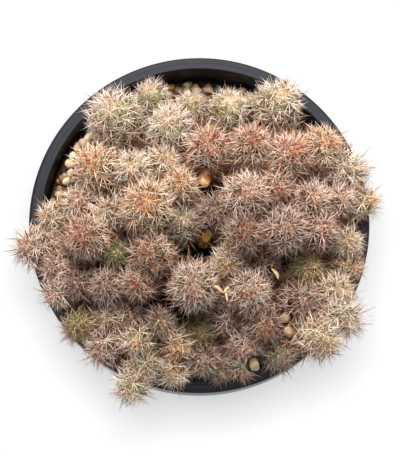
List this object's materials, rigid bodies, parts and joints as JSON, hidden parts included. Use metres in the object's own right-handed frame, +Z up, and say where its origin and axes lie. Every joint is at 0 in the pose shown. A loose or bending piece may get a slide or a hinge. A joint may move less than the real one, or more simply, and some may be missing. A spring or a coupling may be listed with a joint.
{
  "type": "potted clumping cactus",
  "caption": "Clump of small round spiny cactus heads with gravel top dressing, standing in a round tapered plastic nursery pot.",
  "frame": {"origin": "centre of the flat face under the pot, where it stands", "axes": "+Z up along the pot's axis; -Y towards the side of the pot that is nearest in the picture"},
  "size_m": [0.1339, 0.129, 0.1261],
  "materials": {
    "pot_plastic": "moulded, satin, lightly scuffed",
    "soil": "loose, matt",
    "gravel": "rounded, dry, matt",
    "cactus": "waxy skin under cream and red-brown spines",
    "dried_fruit": "dry, wrinkled",
    "dried_flower": "dry, crumpled",
    "dried_petal": "papery, thin"
  },
  "bodies": {
    "root": {"dried_flower": "dried_flower", "dried_fruit": "dried_fruit", "gravel_dressing": "gravel", "head_01": "cactus", "head_02": "cactus", "head_03": "cactus", "head_05": "cactus", "head_06": "cactus", "head_07": "cactus", "head_08": "cactus", "head_10": "cactus", "head_11": "cactus", "head_12": "cactus", "head_13": "cactus", "head_15": "cactus", "head_16": "cactus", "head_17": "cactus", "head_19": "cactus", "head_20": "cactus", "head_21": "cactus", "head_22": "cactus", "head_23": "cactus", "head_24": "cactus", "head_26": "cactus", "head_27": "cactus", "head_28": "cactus", "head_30": "cactus", "head_31": "cactus", "head_32": "cactus", "head_34": "cactus", "head_35": "cactus", "head_36": "cactus", "head_37": "cactus", "head_38": "cactus", "head_39": "cactus", "head_41": "cactus", "head_42": "cactus", "head_43": "cactus", "head_44": "cactus", "head_45": "cactus", "head_46": "cactus", "head_47": "cactus", "head_49": "cactus", "head_50": "cactus", "head_51": "cactus", "head_53": "cactus", "head_56": "cactus", "head_57": "cactus", "head_58": "cactus", "head_59": "cactus", "head_62": "cactus", "head_63": "cactus", "loose_stone_1": "gravel", "loose_stone_2": "gravel", "loose_stone_3": "gravel", "pot": "pot_plastic", "potting_soil": "soil", "shed_petal_1": "dried_petal", "shed_petal_2": "dried_petal"}
  },
  "joints": []
}
